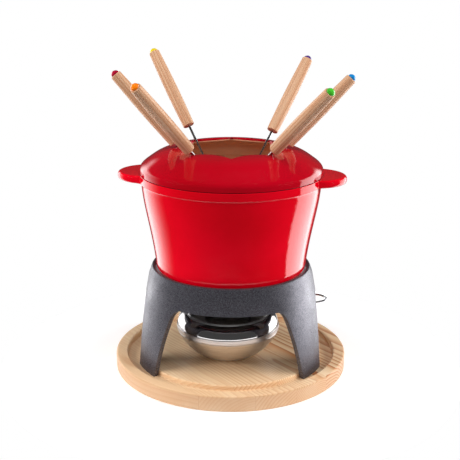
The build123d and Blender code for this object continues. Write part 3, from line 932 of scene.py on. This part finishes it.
def bar(sections):
    """A flat bar from its sections: (height, left, right, half-thickness), with its long edges rounded."""
    loops = []
    for z, left, right, half in sections:
        r = 0.35 * min(half, (right - left) / 2)
        box = [(left, -half + r), (left + r, -half), (right - r, -half), (right, -half + r)]
        box += [(right, half - r), (right - r, half), (left + r, half), (left, half - r)]
        loops.append([(x, y, z) for x, y in box])
    return capped(loops)


def forks(steel_look, beech_look, beads):
    """Six forks of one shape: steel, grip and the bead in its butt."""
    tip = [(0, 34.6), (0.7, 34.6), (1.25, 35.6), (SHAFT_R, 37.5)]
    shaft = wheel(tip + run((SHAFT_R, 38), (SHAFT_R, 190), 8) + [(SHAFT_R, 213.5), (0, 214)], around(16))
    left_prong = [(z, -right, -left, half) for z, left, right, half in PRONG]
    steel_grids = [(bar(PRONG), 0), (bar(left_prong), 0), (bar(HEAD), 0), (shaft, 0)]
    top = GRIP_FROM + GRIP_LENGTH
    socket = [(3.05, top), (3.05, top - 4), (0, top - 4)]
    side = [(r, z + GRIP_FROM) for r, z in spline([(6.1, 0), (6.7, 42), (5.7, GRIP_LENGTH)], 12)]
    grip = wheel(
        joined(
            [(0, GRIP_FROM + 5), (1.45, GRIP_FROM + 5)],
            rounded([(1.45, GRIP_FROM + 5), (1.45, GRIP_FROM), side[0], side[3]], [0.25, 1.1]),
            side[3:-2],
            rounded([side[-3], side[-1], *socket], [1.2, 0.3, 0.1]),
        ),
        around(40),
    )
    brow = (4.3, top + 0.9)
    bead = wheel(
        joined(
            [(0, top - 4), (3.0, top - 4), (3.0, top)],
            rounded([(3.0, top), (4.31, top), brow], 0.35),
            spline([brow, (3.17, top + 2.87), (0, top + 4.15)], 7, (-0.02, 1), (-1, 0)),
        ),
        around(28),
    )
    for colour, settings in FORKS.items():
        fork, place = colour + "_fork", fork_place(*settings)
        piece(fork + "_tines", steel_grids, [steel_look], fork, fork + "_steel", place)
        piece(fork + "_handle", [(grip, 0)], [beech_look], fork, fork + "_grip", place)
        piece(fork + "_cap", [(bead, 0)], [beads[colour]], fork, fork + "_bead", place)


red = enamel("red_enamel", rgb(207, 0, 20), rgb(219, 0, 27), rgb(120, 0, 10))
# The ring has the pot's enamel in a darker copy: painted shade that offsets the top lamp's light on its
# upward faces.
ring_red_shaded = enamel("red_enamel_painted_darker_for_ring", rgb(162, 0, 16), rgb(175, 0, 23), rgb(100, 0, 8))
# The inside's brown enamel is painted lighter than it is: painted light for the inside, which lies in shade
# under the ring.
brown = enamel("brown_enamel_painted_lighter", rgb(240, 180, 140), rgb(248, 190, 150), rgb(96, 66, 50), 0.16)
# Bare iron under the pot's base and at the seat between pot and ring; round the ring's lower outer edge it is
# also painted shade for the dark seam.
iron_and_seam_shade = cast_iron("bare_iron_and_painted_seam_shade", rgb(26, 24, 26), rgb(44, 40, 42), 0.55)
painted_iron = cast_iron("painted_cast_iron", rgb(40, 38, 43), rgb(136, 135, 145), 0.4, 0.8)
brushed = steel("brushed_steel", rgb(242, 240, 240), 0.32, 0.6)
polished = steel("polished_steel", rgb(226, 224, 224), 0.05, 0.08, smear=0.07)
# The collar's beads: near-white steel, only partly metal so the lamps light it, a painted highlight in place
# of the glints that polished beads would catch.
bead_highlight_steel = steel("bead_steel_with_painted_highlight", rgb(236, 236, 236), 0.22, 0.2, metal=0.45)
wire = steel("polished_wire", rgb(215, 215, 218), 0.16, 0.2, (900, 900, 900))
drawn = steel("drawn_steel", rgb(205, 205, 208), 0.2, 0.35, (2500, 2500, 60))
cup_steel = steel("deep_drawn_steel", rgb(190, 186, 182), 0.28, 0.4, smear=0.1, own=False)
gauze = steel("gauze_wire", rgb(176, 172, 168), 0.3, 0.3, (1200, 1200, 1200), 0.2)

board(pine())
stand(painted_iron)
pot(red, brown, iron_and_seam_shade)
ring(ring_red_shaded, brown, iron_and_seam_shade)
burner_bowl(brushed)
burner_dome(polished, bead_highlight_steel)
gauze_weave(gauze)
pad_wadding(wadding())
damper_wire(wire)
forks(drawn, beech(), {name: plastic(name + "_plastic", rgb(*value)) for name, value in BEAD_COLOURS.items()})
# These two keep their CAD meshes and only get a look.
for node in ("fuel_cup", "damper_plate"):
    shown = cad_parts[node]
    shown.data.materials.clear()
    shown.data.materials.append(cup_steel)

# ---------------------------------------------------------------- studio


def studio_floor():
    """A small pale floor under the object, faintly bright of itself. Past it the white background goes on."""
    rows = [0, 60, 110, 123, 127, 140, 170, 210, 250]
    made = added("floor", welded("floor", [(wheel([(r, 0.0) for r in rows], around(96)), 0)]))
    look = Look("paper", own=False)
    fibres = look.between(look.noise(300.0), 0.3, 0.7)
    look.set(Base_Color=look.mix(fibres, (0.93, 0.93, 0.93, 1), (0.96, 0.96, 0.96, 1)), Roughness=0.8)
    look.set(Emission_Color=WHITE, Emission_Strength=0.18)
    made.data.materials.append(look.material)


def lamp(name, place, aim, size, power):
    """A soft area light that polished surfaces don't mirror."""
    data = bpy.data.lights.new(name, "AREA")
    data.shape = "RECTANGLE"
    data.size, data.size_y = size
    data.energy = power
    made = added(name, data)
    made.location = place
    made.rotation_euler = (Vector(aim) - Vector(place)).to_track_quat("-Z", "Y").to_euler()
    made.visible_camera = False
    made.visible_glossy = False


def studio_world():
    """White to the camera. To the object, a dim room whose polished surfaces mirror two tall panels."""
    world = bpy.data.worlds.new("studio")
    bpy.context.scene.world = world
    world.use_nodes = True
    room = Nodes(world.node_tree)
    x, y, z = room.parts(room.node("TexCoord", {}).outputs["Generated"])
    turn = room.math("DEGREES", room.math("ARCTAN2", x, room.times(y, -1.0)))
    low, high = -0.9, 0.4

    def panel(start, end, soft_start, soft_end, power):
        """A panel between two azimuths, with soft edges."""
        fade_in = room.between(turn, start, start + soft_start)
        fade_out = room.between(turn, end - soft_end, end, 1.0, 0.0)
        tall = room.times(room.between(z, low, low + 0.12), room.between(z, high - 0.15, high, 1.0, 0.0))
        return room.times(room.times(room.times(fade_in, fade_out), tall), power)

    right = panel(start=93, end=152, soft_start=3, soft_end=12, power=4.4)
    left = panel(start=-160, end=-96, soft_start=14, soft_end=44, power=3.2)
    path = room.node("LightPath", {}).outputs
    dimness = 0.06
    light = room.plus(room.times(room.plus(right, left), path["Is Glossy Ray"]), dimness)
    strength = room.math("MAXIMUM", path["Is Camera Ray"], light)
    back = room.node("Background", {"Color": WHITE, "Strength": strength})
    room.node("OutputWorld", {0: back.outputs[0]})


def camera():
    """The photograph's view, as solved from the ellipses of board, pot and ring."""
    data = bpy.data.cameras.new("camera")
    data.sensor_width = 36.0
    data.lens = 71.74
    data.clip_start = 0.05
    data.clip_end = 20
    made = added("camera", data)
    place = (0, -0.9364, 0.4236)
    pitch, yaw, roll = math.radians(16.31), -0.0013, 0.0051
    ahead = Vector((math.sin(yaw) * math.cos(pitch), math.cos(yaw) * math.cos(pitch), -math.sin(pitch)))
    level = Vector((math.cos(yaw), -math.sin(yaw), 0))
    over = level.cross(ahead)
    right = level * math.cos(roll) + over * math.sin(roll)
    up = over * math.cos(roll) - level * math.sin(roll)
    turn = Matrix((right, up, -ahead)).transposed().to_4x4()
    made.matrix_world = Matrix.Translation(place) @ turn
    bpy.context.scene.camera = made


studio_floor()
studio_world()
lamp("top", (0.0, -0.15, 1.5), (0, 0, 0.1), (1.3, 1.0), 13)
lamp("front", (0.0, -1.3, 0.66), (0, 0, 0.2), (0.8, 0.4), 2.4)
lamp("fill_left", (-1.35, -0.35, 0.55), (0, 0, 0.12), (0.9, 0.9), 24)
lamp("fill_right", (1.35, -0.3, 0.55), (0, 0, 0.12), (0.9, 0.9), 24)
camera()
bpy.context.scene.view_settings.view_transform = "Standard"
